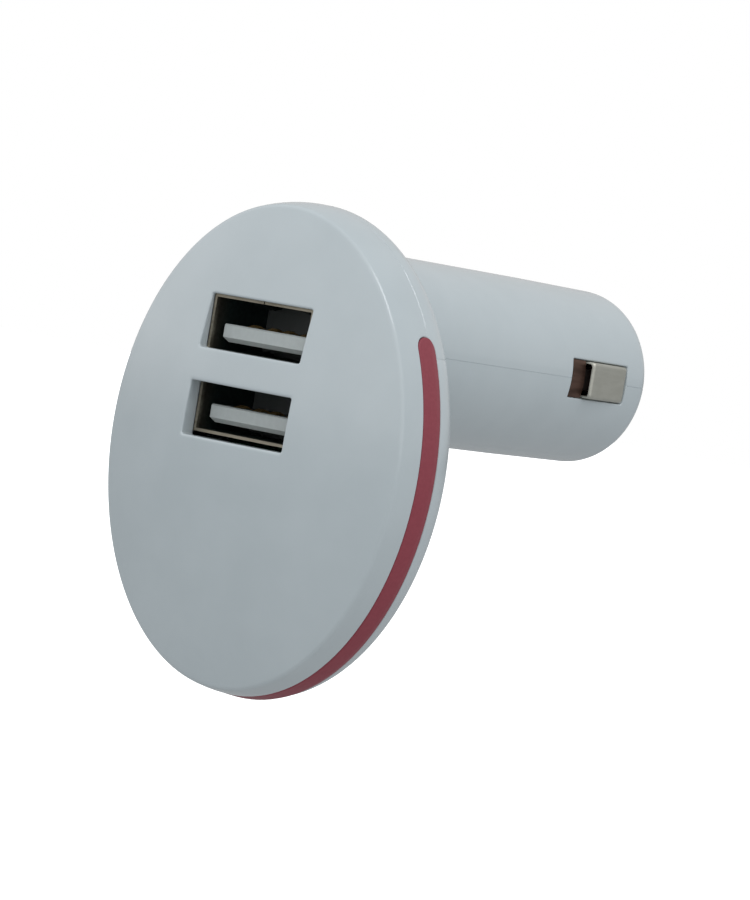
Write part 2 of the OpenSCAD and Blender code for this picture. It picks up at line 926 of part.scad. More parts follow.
// Ground strip: plate shown in the window, riser, run under the contact, leg to the board
module ground_strip(side) {
  plate_x = chord(barrel_radius, window_height / 2) - 0.02;
  y0 = window_start + 0.1;
  y1 = y0 + plate_length;
  half = window_height / 2 - 0.1;
  color(bronze)
    mirror([side < 0 ? 1 : 0, 0, 0]) {
      translate([0, 0, -strip_half_height])
        linear_extrude(2 * strip_half_height)
          polygon([
            [strip_x, window_start - 2.4], [strip_x + strip_sheet, window_start - 2.4],
            [strip_x + strip_sheet, y0], [plate_x - 0.2, y0], [plate_x - 0.2, y0 + strip_sheet],
            [strip_x + strip_sheet, y0 + strip_sheet], [strip_x + strip_sheet, nose_inner_y - 0.35],
            [strip_x, nose_inner_y - 0.35]
          ]);
      intersection() {
        box([plate_x - 0.4, y0, -half], [barrel_radius, y1, half]);
        along_y()
          cylinder(r = barrel_radius - 0.1, h = barrel_length, $fn = 96);
      }
      box([strip_x, window_start - 2.4, board_top_z], [strip_x + strip_sheet, window_start - 1, 0]);
    }
}

module ground_strip_right() {
  ground_strip(1);
}

module ground_strip_left() {
  ground_strip(-1);
}

// Sprung contact: sloping top, bent head edge, skirts and the flanges that keep it in
module side_contact(side) {
  high = barrel_radius + contact_proud;
  low = chord(barrel_radius, window_height / 2) - 0.05;
  floor_x = bore_radius - 1.05;
  flange_half = contact_half + 0.85;
  inner_half = contact_half - contact_sheet;
  color(nickel)
    mirror([side < 0 ? 1 : 0, 0, 0]) {
      difference() {
        translate([0, 0, -contact_half])
          linear_extrude(2 * contact_half)
            polygon([
              [floor_x, contact_start + 0.1], [high - 0.2, contact_start], [high, contact_start + 0.2],
              [low + 0.15, contact_end - 0.2], [low - 0.1, contact_end], [floor_x, contact_end]
            ]);
        translate([0, 0, -inner_half])
          linear_extrude(2 * inner_half)
            polygon([
              [floor_x - cut, contact_start - cut], [high - 0.32, contact_start - cut],
              [high - 0.32, contact_start + 0.2], [low - 0.17, contact_end - 0.4],
              [low - 0.17, contact_end + cut], [floor_x - cut, contact_end + cut]
            ]);
      }
      for (z = [-1, 1])
        side_box(
          1, [floor_x, contact_start + 0.5, contact_half - contact_sheet],
          [floor_x + contact_sheet, contact_end - 0.5, flange_half], z
        );
    }
}

module side_contact_right() {
  side_contact(1);
}

module side_contact_left() {
  side_contact(-1);
}

// Bowed bronze leaf that pushes a side contact out
module contact_spring(side) {
  x0 = strip_x + strip_sheet;
  y0 = contact_start + 0.6;
  y1 = contact_end - 0.9;
  middle = (y0 + y1) / 2;
  slope = (chord(barrel_radius, window_height / 2) - 0.05 - barrel_radius - contact_proud)
    / (contact_end - contact_start);
  top = barrel_radius + contact_proud + slope * (middle - contact_start) - 0.42;
  rise = top - x0;
  half_chord = (y1 - y0) / 2;
  bow_r = (half_chord * half_chord + rise * rise) / (2 * rise);
  color(bronze)
    mirror([side < 0 ? 1 : 0, 0, 0])
      intersection() {
        translate([top - bow_r, middle, -1.2])
          difference() {
            cylinder(r = bow_r, h = 2.4, $fn = 180);
            translate([0, 0, -cut])
              cylinder(r = bow_r - 0.22, h = 2.4 + 2 * cut, $fn = 180);
          }
        box([x0 + 0.02, y0 - 0.5, -2], [barrel_radius + 1, y1 + 0.5, 2]);
      }
}

module contact_spring_right() {
  contact_spring(1);
}

module contact_spring_left() {
  contact_spring(-1);
}

// Turned tip pin: domed end, shank, flange behind the nose wall, spring spigot
module tip_pin() {
  flange_y = nose_inner_y - flange_thickness;
  end_y = barrel_length + pin_reach;
  dome = 1.2;
  ball = (pin_radius * pin_radius + dome * dome) / (2 * dome);
  color([0.8, 0.79, 0.75]) {
    along_y(flange_y)
      cylinder(r = pin_radius + 1.4, h = flange_thickness, $fn = 64);
    along_y(flange_y - spigot_length)
      cylinder(r = spigot_radius, h = spigot_length + 0.1, $fn = 48);
    intersection() {
      along_y(flange_y)
        cylinder(r = pin_radius, h = end_y - flange_y, $fn = 64);
      along_y(end_y - ball)
        sphere(ball, $fn = 96);
    }
    along_y(flange_y)
      cylinder(r = pin_radius, h = end_y - flange_y - dome - 1, $fn = 64);
  }
}

// Helical spring between the bracket and the tip pin
module tip_spring() {
  y0 = board_length + 0.02 + spring_wire / 2;
  y1 = nose_inner_y - flange_thickness - 0.02 - spring_wire / 2;
  steps = 12;
  sides = 6;
  rings = spring_turns * steps + 1;
  points = [
    for (k = [0 : rings - 1], s = [0 : sides - 1])
      let (
        turn = 360 * k / steps, around = 360 * s / sides,
        share = k / (rings - 1),
        r = spring_radius + spring_wire / 2 * cos(around)
      )
      [r * cos(turn), y0 + (y1 - y0) * share + spring_wire / 2 * sin(around), r * sin(turn)]
  ];
  faces = [
    for (k = [0 : rings - 2], s = [0 : sides - 1])
      [k * sides + s, k * sides + (s + 1) % sides, (k + 1) * sides + (s + 1) % sides, (k + 1) * sides + s]
  ];
  ends = [
    [for (s = [0 : sides - 1]) sides - 1 - s],
    [for (s = [0 : sides - 1]) (rings - 1) * sides + s]
  ];
  color([0.6, 0.6, 0.62])
    polyhedron(points, concat(faces, ends));
}

// Brass bracket on the main board's end, with the spigot for the spring
module tip_bracket() {
  sheet = 0.4;
  disc_radius = spring_radius + 1;
  foot_half = disc_radius * 0.65;
  color([0.75, 0.6, 0.32]) {
    intersection() {
      along_y(board_length - sheet)
        cylinder(r = disc_radius, h = sheet, $fn = 64);
      box([-disc_radius, 0, board_top_z], [disc_radius, board_length + 1, disc_radius]);
    }
    box(
      [-foot_half, board_length - bracket_foot, board_top_z],
      [foot_half, board_length, board_top_z + sheet]
    );
    along_y(board_length - 0.1)
      cylinder(r = spigot_radius, h = spigot_length + 0.1, $fn = 48);
  }
}

front_cover();
upper_shell();
lower_shell();
trim_band();
usb_can_upper();
usb_can_lower();
usb_tongue_upper();
usb_tongue_lower();
usb_contacts_upper();
usb_contacts_lower();
usb_board();
main_board();
power_ic();
inductor_core();
inductor_coil();
input_capacitor();
output_capacitor();
diode();
input_fuse();
chip_parts();
side_contact_right();
side_contact_left();
contact_spring_right();
contact_spring_left();
ground_strip_right();
ground_strip_left();
tip_pin();
tip_spring();
tip_bracket();
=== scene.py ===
import bmesh
import bpy
import numpy as np
from mathutils import Matrix


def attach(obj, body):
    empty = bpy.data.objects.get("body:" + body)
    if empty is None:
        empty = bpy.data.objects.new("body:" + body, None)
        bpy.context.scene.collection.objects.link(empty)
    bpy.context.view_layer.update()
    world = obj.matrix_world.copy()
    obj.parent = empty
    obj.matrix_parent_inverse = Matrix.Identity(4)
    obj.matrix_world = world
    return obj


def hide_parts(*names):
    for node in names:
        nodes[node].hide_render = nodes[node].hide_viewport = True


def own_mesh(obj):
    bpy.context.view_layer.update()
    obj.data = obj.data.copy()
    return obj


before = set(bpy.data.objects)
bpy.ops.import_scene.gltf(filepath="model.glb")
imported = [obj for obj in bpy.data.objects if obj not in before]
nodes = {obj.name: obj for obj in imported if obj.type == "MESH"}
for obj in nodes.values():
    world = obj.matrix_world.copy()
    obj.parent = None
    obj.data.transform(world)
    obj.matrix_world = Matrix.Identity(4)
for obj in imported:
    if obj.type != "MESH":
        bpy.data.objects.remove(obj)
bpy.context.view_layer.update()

# Studio. A pale floor lies well below the plug, because the plug is held by its socket in use.
# The camera sees white all round. An even room lights the plug, gloss sees a bright front and sky
# over a darker floor, and one small panel draws the highlight on the face's edge.


def new_material(name, color, rough, metal=0.0, specular=0.5, coat=0.0, coat_rough=0.05):
    """A material whose shader has these uniform values on its own sockets; returns (material, shader)."""
    material = bpy.data.materials.new(name)
    material.use_nodes = True
    shader = material.node_tree.nodes["Principled BSDF"]
    shader.inputs["Base Color"].default_value = (*color, 1)
    shader.inputs["Roughness"].default_value = rough
    shader.inputs["Metallic"].default_value = metal
    shader.inputs["Specular IOR Level"].default_value = specular
    shader.inputs["Coat Weight"].default_value = coat
    shader.inputs["Coat Roughness"].default_value = coat_rough
    return material, shader


def add_node(tree, kind, inputs=(), **settings):
    """A new node of that kind, with (input name or number, value) pairs and its own settings."""
    node = tree.nodes.new(kind)
    for key, value in settings.items():
        setattr(node, key, value)
    for key, value in inputs:
        node.inputs[key].default_value = value
    return node


def ramp(tree, source, stops):
    """Colours at the given places of a 0 to 1 value, mixed between them; returns the colour output."""
    node = add_node(tree, "ShaderNodeValToRGB")
    while len(node.color_ramp.elements) < len(stops):
        node.color_ramp.elements.new(0.5)
    for element, (position, color) in zip(node.color_ramp.elements, stops):
        element.position = position
        element.color = (*color, 1)
    tree.links.new(source, node.inputs["Fac"])
    return node.outputs["Color"]


floor_paint, floor_shader = new_material("floor_paint", (0.5, 0.5, 0.5), 1.0, specular=0.0)
tree = floor_paint.node_tree
path = add_node(tree, "ShaderNodeLightPath")
seen = add_node(tree, "ShaderNodeMath", operation="MAXIMUM")
glow = add_node(tree, "ShaderNodeEmission")
both = add_node(tree, "ShaderNodeAddShader")
tree.links.new(path.outputs["Is Camera Ray"], seen.inputs[0])
tree.links.new(path.outputs["Is Transmission Ray"], seen.inputs[1])
tree.links.new(seen.outputs[0], glow.inputs["Strength"])
floor_tones = ramp(tree, path.outputs["Is Glossy Ray"], [(0.0, (0.5, 0.5, 0.5)), (1.0, (0.35, 0.35, 0.35))])
tree.links.new(floor_tones, floor_shader.inputs["Base Color"])
tree.links.new(floor_shader.outputs[0], both.inputs[0])
tree.links.new(glow.outputs[0], both.inputs[1])
tree.links.new(both.outputs[0], tree.nodes["Material Output"].inputs["Surface"])

floor_z, floor_half = -0.1, 3.0
floor_mesh = bpy.data.meshes.new("floor")
floor_mesh.from_pydata(
    [(-floor_half, -floor_half, floor_z), (floor_half, -floor_half, floor_z),
     (floor_half, floor_half, floor_z), (-floor_half, floor_half, floor_z)],
    [], [(0, 1, 2, 3)],
)
floor_mesh.materials.append(floor_paint)
floor = bpy.data.objects.new("floor", floor_mesh)
bpy.context.scene.collection.objects.link(floor)

world = bpy.data.worlds.new("studio")
world.use_nodes = True
bpy.context.scene.world = world
tree = world.node_tree
room = tree.nodes["Background"]
room.inputs["Color"].default_value = (0.93, 0.97, 1.0, 1)
room.inputs["Strength"].default_value = 1.0
white = add_node(tree, "ShaderNodeBackground", [("Color", (1, 1, 1, 1))])
path = add_node(tree, "ShaderNodeLightPath")
direction = add_node(tree, "ShaderNodeTexCoord")
parts = add_node(tree, "ShaderNodeSeparateXYZ")
forward = add_node(tree, "ShaderNodeMapRange",
                   [("From Min", 0.4), ("From Max", -0.3), ("To Min", 0.55), ("To Max", 1.3)])
shine = add_node(tree, "ShaderNodeBackground")
room_or_shine = add_node(tree, "ShaderNodeMixShader")
surround = add_node(tree, "ShaderNodeMixShader")
tree.links.new(direction.outputs["Generated"], parts.inputs[0])
tree.links.new(parts.outputs["Y"], forward.inputs["Value"])
sky_tones = ramp(tree, parts.outputs["Z"], [(0.0, (0.35, 0.35, 0.35)), (0.11, (1, 1, 1))])
tree.links.new(sky_tones, shine.inputs["Color"])
tree.links.new(forward.outputs[0], shine.inputs["Strength"])
tree.links.new(path.outputs["Is Glossy Ray"], room_or_shine.inputs["Fac"])
tree.links.new(room.outputs[0], room_or_shine.inputs[1])
tree.links.new(shine.outputs[0], room_or_shine.inputs[2])
tree.links.new(path.outputs["Is Camera Ray"], surround.inputs["Fac"])
tree.links.new(room_or_shine.outputs[0], surround.inputs[1])
tree.links.new(white.outputs[0], surround.inputs[2])
tree.links.new(surround.outputs[0], tree.nodes["World Output"].inputs["Surface"])


def panel_lamp(name, place, target, width, height, power, color):
    """A rectangular area lamp at place, turned so that its light runs along the line to target."""
    lamp = bpy.data.lights.new(name, "AREA")
    lamp.shape = "RECTANGLE"
    lamp.size, lamp.size_y = width, height
    lamp.energy = power
    lamp.color = color
    obj = bpy.data.objects.new(name, lamp)
    bpy.context.scene.collection.objects.link(obj)
    back = np.array(place, float) - np.array(target, float)
    back /= np.linalg.norm(back)
    side = np.cross((0.0, 0.0, 1.0), back)
    side /= np.linalg.norm(side)
    turn = np.eye(4)
    turn[:3, 0], turn[:3, 1], turn[:3, 2], turn[:3, 3] = side, np.cross(back, side), back, place
    obj.matrix_world = Matrix(turn.tolist())


plug_middle = (0.0, 0.015, -0.01)
panel_lamp("top_panel", (0.45, -0.26, 0.75), plug_middle, 0.35, 0.35, 1.6, (0.97, 0.99, 1.0))

# Camera. Its place and turn were fitted to the photo's outlines, with the middle of the
# head's oval on the seam as the datum. The turn is an axis times its angle, and the offset
# runs from the camera to the datum in millimetres, made 1.5 per cent longer with the sizes.
SENSOR_MM, PICTURE_PX, FOCAL_PX, FIT_SCALE = 36.0, 900.0, 4029.4456, 1.015e-3
turn_vector = np.array([-0.0190131, 0.6633924, 0.1727924])
angle = np.linalg.norm(turn_vector)
ux, uy, uz = turn_vector / angle
skew = np.array([[0, -uz, uy], [uz, 0, -ux], [-uy, ux, 0]])
view = np.eye(3) + np.sin(angle) * skew + (1 - np.cos(angle)) * skew @ skew
view = view @ np.array([[1.0, 0, 0], [0, 0, -1.0], [0, 1.0, 0]])
offset = FIT_SCALE * np.array([-9.641168, 0.030034, 408.733272])
seam_middle = np.array([0, -0.0068, -0.012075])
camera_data = bpy.data.cameras.new("camera")
camera_data.sensor_width = SENSOR_MM
camera_data.lens = FOCAL_PX * SENSOR_MM / PICTURE_PX
camera_data.clip_start = 0.01
camera = bpy.data.objects.new("camera", camera_data)
bpy.context.scene.collection.objects.link(camera)
place = np.eye(4)
place[:3, 0], place[:3, 1], place[:3, 2] = view[0], -view[1], -view[2]
place[:3, 3] = -view.T @ offset + seam_middle
camera.matrix_world = Matrix(place.tolist())
bpy.context.scene.camera = camera
bpy.context.scene.view_settings.view_transform = "Standard"

# Circuit boards and the parts soldered on them. They fill the barrel and stay hidden behind the
# closed housing, so their solids are kept and take fine-grained materials: green solder mask,
# black moulding, ferrite, wound copper, drawn aluminium and fired ceramic.


def grained(name, dark, light, rough, metal=0.0, scale=1500.0, stretch=(1, 1, 1), bump=0.1, reach=0.02,
            **more):
    """A material whose colour runs between two tones with a fine noise, which also stands up as a relief of
    the given reach in millimetres. The noise is stretched along an axis by a small share for that axis."""
    material, shader = new_material(name, light, rough, metal, **more)
    tree = material.node_tree
    where = add_node(tree, "ShaderNodeTexCoord")
    shape = add_node(tree, "ShaderNodeMapping", [("Scale", stretch)])
    noise = add_node(tree, "ShaderNodeTexNoise", [("Scale", scale), ("Detail", 3.0)])
    relief = add_node(tree, "ShaderNodeBump", [("Strength", bump), ("Distance", reach * 0.001)])
    tree.links.new(where.outputs["Object"], shape.inputs["Vector"])
    tree.links.new(shape.outputs[0], noise.inputs["Vector"])
    tree.links.new(noise.outputs["Fac"], relief.inputs["Height"])
    tree.links.new(relief.outputs[0], shader.inputs["Normal"])
    tones = ramp(tree, noise.outputs["Fac"], [(0.35, dark), (0.65, light)])
    tree.links.new(tones, shader.inputs["Base Color"])
    return material


def paint(material, *names):
    """Gives CAD nodes a material in place of their plain ones."""
    for name in names:
        slots = nodes[name].data.materials
        for number in range(len(slots)):
            slots[number] = material
        if not slots:
            slots.append(material)


paint(grained("solder_mask", (0.012, 0.085, 0.045), (0.03, 0.16, 0.08), 0.35, scale=900.0, bump=0.3,
              coat=0.5), "usb_board", "main_board")
paint(grained("black_moulding", (0.012, 0.012, 0.013), (0.028, 0.028, 0.03), 0.55, scale=4000.0, bump=0.4),
      "power_ic", "diode")
paint(grained("ferrite", (0.035, 0.035, 0.04), (0.075, 0.075, 0.08), 0.6, scale=2500.0, bump=0.5),
      "inductor_core")
paint(grained("wound_copper", (0.36, 0.12, 0.05), (0.62, 0.26, 0.12), 0.3, 1.0, 3000.0, (1, 1, 6), 0.3,
              coat=0.5), "inductor_coil")
paint(grained("drawn_aluminium", (0.6, 0.61, 0.63), (0.74, 0.75, 0.77), 0.28, 1.0, 2500.0, (1, 1, 0.1), 0.15),
      "input_capacitor", "output_capacitor")
paint(grained("dipped_green", (0.025, 0.1, 0.07), (0.045, 0.15, 0.11), 0.4, scale=1200.0, bump=0.2),
      "input_fuse")
paint(grained("fired_ceramic", (0.26, 0.18, 0.11), (0.4, 0.29, 0.19), 0.5, scale=3500.0, bump=0.2),
      "chip_parts")

# USB sockets: folded nickel-plated cans, white moulded tongues and gilded springs. Little light
# gets into them, so shade is painted into their colours: the plated walls and the far block turn
# dark within a millimetre or two, and the springs further in.


def paint_shade_inwards(material, start, end, share, tint=(1.0, 1.0, 1.0)):
    """Paints shade into a material: multiplies its colour by a grey that falls from 1 at one depth to a
    share at another, along Y. The share is tinted."""
    tree = material.node_tree
    base = tree.nodes["Principled BSDF"].inputs["Base Color"]
    where = add_node(tree, "ShaderNodeTexCoord")
    parts = add_node(tree, "ShaderNodeSeparateXYZ")
    depth = add_node(tree, "ShaderNodeMapRange", [("From Min", start * 0.001), ("From Max", end * 0.001)])
    product = add_node(tree, "ShaderNodeVectorMath", operation="MULTIPLY")
    tree.links.new(where.outputs["Object"], parts.inputs[0])
    tree.links.new(parts.outputs["Y"], depth.inputs["Value"])
    tree.links.new(base.links[0].from_socket, product.inputs[0])
    deep = tuple(share * part for part in tint)
    grey = ramp(tree, depth.outputs[0], [(0.0, (1, 1, 1)), (0.25, (share * 1.3,) * 3), (1.0, deep)])
    tree.links.new(grey, product.inputs[1])
    tree.links.new(product.outputs[0], base)
    return material


CAN_FRONT_Y = -13.15
can_nickel = grained("nickel_plate", (0.25, 0.225, 0.175), (0.33, 0.3, 0.24), 0.42, 0.85, 2500.0, (0.2, 1, 1))
# Painted shade: the cans, tongues and springs darken with depth into the sockets.
paint(paint_shade_inwards(can_nickel, CAN_FRONT_Y + 0.02, CAN_FRONT_Y + 2.4, 0.24, (0.75, 1.25, 1.5)),
      "usb_can_upper", "usb_can_lower")
paint(paint_shade_inwards(grained("tongue_plastic", (0.46, 0.49, 0.48), (0.49, 0.52, 0.51), 0.45, scale=1800.0),
                     CAN_FRONT_Y + 2.2, CAN_FRONT_Y + 7.0, 0.25), "usb_tongue_upper", "usb_tongue_lower")
paint(paint_shade_inwards(grained("gilding", (0.45, 0.28, 0.1), (0.6, 0.4, 0.17), 0.3, 0.7, 2500.0, (1, 0.1, 1)),
                     CAN_FRONT_Y + 4.5, CAN_FRONT_Y + 8.0, 0.4), "usb_contacts_upper", "usb_contacts_lower")

# Ground strips of spring bronze, whose plates show in the windows beside the contacts. The bowed
# leaf on each pushes its contact out: a rolled strip, painted much darker than the plate as the shade
# in the gap beside the contact, that flattens as the contact is pressed in.

bronze = grained("spring_bronze", (0.075, 0.042, 0.03), (0.135, 0.078, 0.058), 0.42, 0.75, 1800.0,
                 (1, 0.15, 1), 0.2)
paint(bronze, "ground_strip_right", "ground_strip_left")
MERGED_M, SLIVER_M = 2e-6, 1e-7


def make_piece(name, grids, material, body, replaced, mirror=False, wall=0.0, inner=(0, 0, 0),
               crease=35.0):
    """A mesh piece from grids of points in millimetres. Each grid gives quads between neighbouring points. A
    mirrored half is the same points with x reversed. Points that meet are merged, faces turned away from the
    point called inner, and a wall, if any, gets its thickness inwards."""
    points, faces, start = [], [], 0
    for grid in grids:
        rows, columns = grid.shape[:2]
        corner = (np.arange(rows - 1)[:, None] * columns + np.arange(columns - 1)[None]).ravel() + start
        quads = np.stack([corner, corner + 1, corner + columns + 1, corner + columns], 1)
        points.append(grid.reshape(-1, 3))
        faces.append(quads)
        start += rows * columns
        if mirror:
            points.append(grid.reshape(-1, 3) * (-1, 1, 1))
            faces.append(quads[:, ::-1] + rows * columns)
            start += rows * columns
    mesh = bpy.data.meshes.new(name)
    mesh.from_pydata((np.concatenate(points) * 0.001).tolist(), [], np.concatenate(faces).tolist())
    work = bmesh.new()
    work.from_mesh(mesh)
    bmesh.ops.remove_doubles(work, verts=work.verts, dist=MERGED_M)
    bmesh.ops.dissolve_degenerate(work, edges=work.edges, dist=SLIVER_M)
    bmesh.ops.recalc_face_normals(work, faces=work.faces)
    middle = np.array(inner, float) * 0.001
    outward = 0.0
    for face in work.faces:
        outward += face.calc_area() * float(np.dot(face.normal, np.array(face.calc_center_median()) - middle))
    if outward < 0:
        bmesh.ops.reverse_faces(work, faces=work.faces)
    work.to_mesh(mesh)
    work.free()
    mesh.materials.append(material)
    obj = bpy.data.objects.new(name, mesh)
    bpy.context.scene.collection.objects.link(obj)
    if wall:
        shell = obj.modifiers.new("wall", "SOLIDIFY")
        shell.thickness = wall * 0.001
        shell.offset = -1
        graph = bpy.context.evaluated_depsgraph_get()
        solid = bpy.data.meshes.new_from_object(obj.evaluated_get(graph))
        obj.modifiers.clear()
        obj.data = solid
        bpy.data.meshes.remove(mesh)
        mesh = solid
        mesh.name = name
    mesh.shade_smooth()
    mesh.set_sharp_from_angle(angle=np.radians(crease))
    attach(obj, body)
    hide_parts(*replaced)
    return obj


LEAF_TOP_X, LEAF_MID_Y, LEAF_R, LEAF_HALF = 9.632, 34.925, 3.182, 1.2
LEAF_LEAN, LEAF_POINTS = 1.355, (33, 9)
leaf_lean = np.linspace(-LEAF_LEAN, LEAF_LEAN, LEAF_POINTS[0])
leaf_across = np.linspace(-1, 1, LEAF_POINTS[1])
narrowed = LEAF_HALF * (1 - 0.3 * np.abs(leaf_lean / LEAF_LEAN) ** 3)
leaf = np.stack([
    np.broadcast_to((LEAF_TOP_X - LEAF_R + LEAF_R * np.cos(leaf_lean))[:, None], LEAF_POINTS),
    np.broadcast_to((LEAF_MID_Y + LEAF_R * np.sin(leaf_lean))[:, None], LEAF_POINTS),
    narrowed[:, None] * leaf_across[None],
], -1)
# The leaf's bronze is painted near black: painted shade for the dark gap under the contact.
bronze_painted_shade = grained("leaf_bronze_painted_shade", (0.018, 0.012, 0.009), (0.03, 0.02, 0.015), 0.55, 0.5, 1800.0,
                      (1, 0.15, 1), 0.2)
for side, hand in ((1, "right"), (-1, "left")):
    piece = make_piece(f"leaf_{hand}", [leaf * (side, 1, 1)], bronze_painted_shade, "housing",
                       [f"contact_spring_{hand}"], wall=0.2,
                       inner=(side * (LEAF_TOP_X - LEAF_R), LEAF_MID_Y, 0))
    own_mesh(piece)

# Side contacts: satin nickel plate bent over into a channel, with its top sloping down towards
# the tip, rolled edges all round and flanges that keep it behind the barrel's wall.

CONTACT_Y = (31.2, 38.95)
CONTACT_HALF = 2.0
CONTACT_HIGH, CONTACT_SLOPE = 10.6, 0.1347
CONTACT_FOOT_X, FLANGE_HALF = 7.3, 2.85
ROLL = 0.34


def contact_row(y, shrink):
    """One row of the channel: flange, side, rolled edge and half of the top, all shrunk by an amount."""
    top = CONTACT_HIGH - CONTACT_SLOPE * max(y - CONTACT_Y[0] - 0.2, 0) - shrink
    half = CONTACT_HALF - shrink * 0.6
    lean = np.linspace(0, np.pi / 2, 7)
    roll_z = half - ROLL + ROLL * np.cos(lean)
    roll_x = top - ROLL + ROLL * np.sin(lean)
    flange = [(CONTACT_FOOT_X + 0.05, FLANGE_HALF), (CONTACT_FOOT_X + 0.05, half + 0.3),
              (CONTACT_FOOT_X + 0.12, half + 0.09), (CONTACT_FOOT_X + 0.35, half)]
    sides = [(x, half) for x in np.linspace(CONTACT_FOOT_X + 0.8, top - ROLL, 5)[:-1]]
    across = [(top, z) for z in np.linspace(half - ROLL, 0, 6)[1:]]
    section = np.array(flange + sides + list(zip(roll_x, roll_z)) + across)
    full = np.concatenate([section, section[-2::-1] * (1, -1)])
    return np.stack([full[:, 0], np.full(len(full), y), full[:, 1]], 1)


roll_lean = np.linspace(np.pi / 2, 0, 7)
end_steps = list(zip(ROLL * (1 - np.sin(roll_lean)), ROLL * (1 - np.cos(roll_lean))))
rows = [contact_row(CONTACT_Y[0] + y, shrink) for y, shrink in end_steps]
rows += [contact_row(y, 0.0) for y in np.linspace(CONTACT_Y[0] + ROLL, CONTACT_Y[1] - ROLL, 9)[1:-1]]
rows += [contact_row(CONTACT_Y[1] - y, shrink) for y, shrink in end_steps[::-1]]
channel = np.stack(rows)
nickel = grained("satin_nickel", (0.48, 0.475, 0.42), (0.52, 0.515, 0.46), 0.5, 0.8, 2200.0,
                 (1, 0.2, 1), 0.12)
for side, hand in ((1, "right"), (-1, "left")):
    make_piece(f"contact_{hand}", [channel * (side, 1, 1)], nickel, f"contact_{hand}",
               [f"side_contact_{hand}"], wall=0.26, inner=(side * 6.0, 35, 0), crease=50.0)

# Tip: a brass bracket on the board's end, a coiled steel spring and the turned pin, whose collar
# stops behind the nose wall. The spring's end turns lie close and it closes as the pin goes in.

paint(grained("stamped_brass", (0.42, 0.29, 0.1), (0.62, 0.45, 0.19), 0.35, 1.0, 2000.0, (0.2, 1, 1)),
      "tip_bracket")
SPRING_Y = (33.27, 40.43)
SPRING_R, WIRE_R, SPRING_TURNS = 2.7, 0.25, 6
TURN_POINTS, END_CROWDING = 28, 0.54
along = np.linspace(0, 1, SPRING_TURNS * TURN_POINTS + 1)
coil_turn = 2 * np.pi * SPRING_TURNS * along
eased_share = along - END_CROWDING * np.sin(2 * np.pi * along) / (2 * np.pi)
round_wire = np.linspace(0, 2 * np.pi, 13)
wire_r = SPRING_R + WIRE_R * np.cos(round_wire)[None]
coil = np.stack([
    wire_r * np.cos(coil_turn)[:, None],
    (SPRING_Y[0] + (SPRING_Y[1] - SPRING_Y[0]) * eased_share)[:, None] + WIRE_R * np.sin(round_wire)[None],
    wire_r * np.sin(coil_turn)[:, None],
], -1)
tips = [np.stack([coil[k], np.broadcast_to(coil[k, :12].mean(0), coil[k].shape)]) for k in (0, -1)]
steel = grained("spring_steel", (0.3, 0.3, 0.32), (0.5, 0.5, 0.52), 0.3, 1.0, 2500.0, (1, 1, 1), 0.15)
spring = make_piece("coil_spring", [coil] + tips, steel, "housing", ["tip_spring"],
                    inner=(0, 36, 0))
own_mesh(spring)


def spun(profile, segments=64):
    """Grid from a profile of (radius, y) turned about the barrel's axis."""
    lean = np.linspace(0, 2 * np.pi, segments + 1)
    r, y = np.asarray(profile, float).T
    return np.stack([r[:, None] * np.sin(lean)[None], np.broadcast_to(y[:, None], (len(r), segments + 1)),
                     r[:, None] * np.cos(lean)[None]], -1)


def corner_round(r, y, size, first, last, count=5):
    """Points of (radius, y) round a corner of that size about (r, y), between two leans in degrees."""
    return [(r + size * np.cos(a), y + size * np.sin(a)) for a in np.radians(np.linspace(first, last, count))]


TAIL_R, COLLAR_R, PIN_R, BALL_R = 2.15, 4.0, 2.6, 3.4167
TAIL_Y, COLLAR_Y, PIN_MID_Y, PIN_TOP_Y = 38.75, (40.7, 41.9), 45.0, 49.9
EDGE_ROUND, RIM_ROUND, RIM_Y, BALL_LEAN = 0.15, 0.3, 48.587, 0.83
tail = [(0, TAIL_Y), (TAIL_R - EDGE_ROUND, TAIL_Y)]
tail += corner_round(TAIL_R - EDGE_ROUND, TAIL_Y + EDGE_ROUND, EDGE_ROUND, -90, 0)
collar = [(TAIL_R, COLLAR_Y[0]), (COLLAR_R - EDGE_ROUND, COLLAR_Y[0])]
collar += corner_round(COLLAR_R - EDGE_ROUND, COLLAR_Y[0] + EDGE_ROUND, EDGE_ROUND, -90, 0)
collar += corner_round(COLLAR_R - EDGE_ROUND, COLLAR_Y[1] - EDGE_ROUND, EDGE_ROUND, 0, 90)
shank = [(PIN_R, COLLAR_Y[1]), (PIN_R, PIN_MID_Y)]
shank += corner_round(PIN_R - RIM_ROUND, RIM_Y, RIM_ROUND, 0, 42.4, 6)
ball_lean = np.linspace(BALL_LEAN, 0, 12)[1:]
dome = [(BALL_R * np.sin(a), PIN_TOP_Y - BALL_R + BALL_R * np.cos(a)) for a in ball_lean]
pin_nickel = grained("turned_nickel", (0.5, 0.5, 0.47), (0.64, 0.63, 0.6), 0.3, 1.0, 2600.0,
                     (0.05, 1, 0.05), 0.25)
make_piece("turned_pin", [spun(tail + collar + shank + dome)], pin_nickel, "tip",
           ["tip_pin"], inner=(0, 44, 0))

# Upper and lower shells: two mouldings of gloss white plastic parted through the barrel's axis.
# Each has its half of the head's rounded back, the shoulder ring, the slightly tapered barrel
# with a contact's window on both sides, and the rounded nose with the pin's hole.

HEAD_DROP = 12.075
OVAL = 1.3
SEAM_Y = -6.8
BACK_ROUND_Y, BACK_FLAT_R, BACK_ROUND = -6.0, 14.75, 5.0
BAND_HALF = 1.29
BAND_MID_Y = SEAM_Y + 0.76 - BAND_HALF
BAND_END_Z = 0.66
GROOVE_HALF, GROOVE_EASED, GROOVE_DEEP = BAND_HALF + 0.06, 0.1, 0.85
NOTCH_HALF, NOTCH_DEEP = 0.07, 0.05
PARTING_DEEP = 0.035
TIP_STEPS = 16


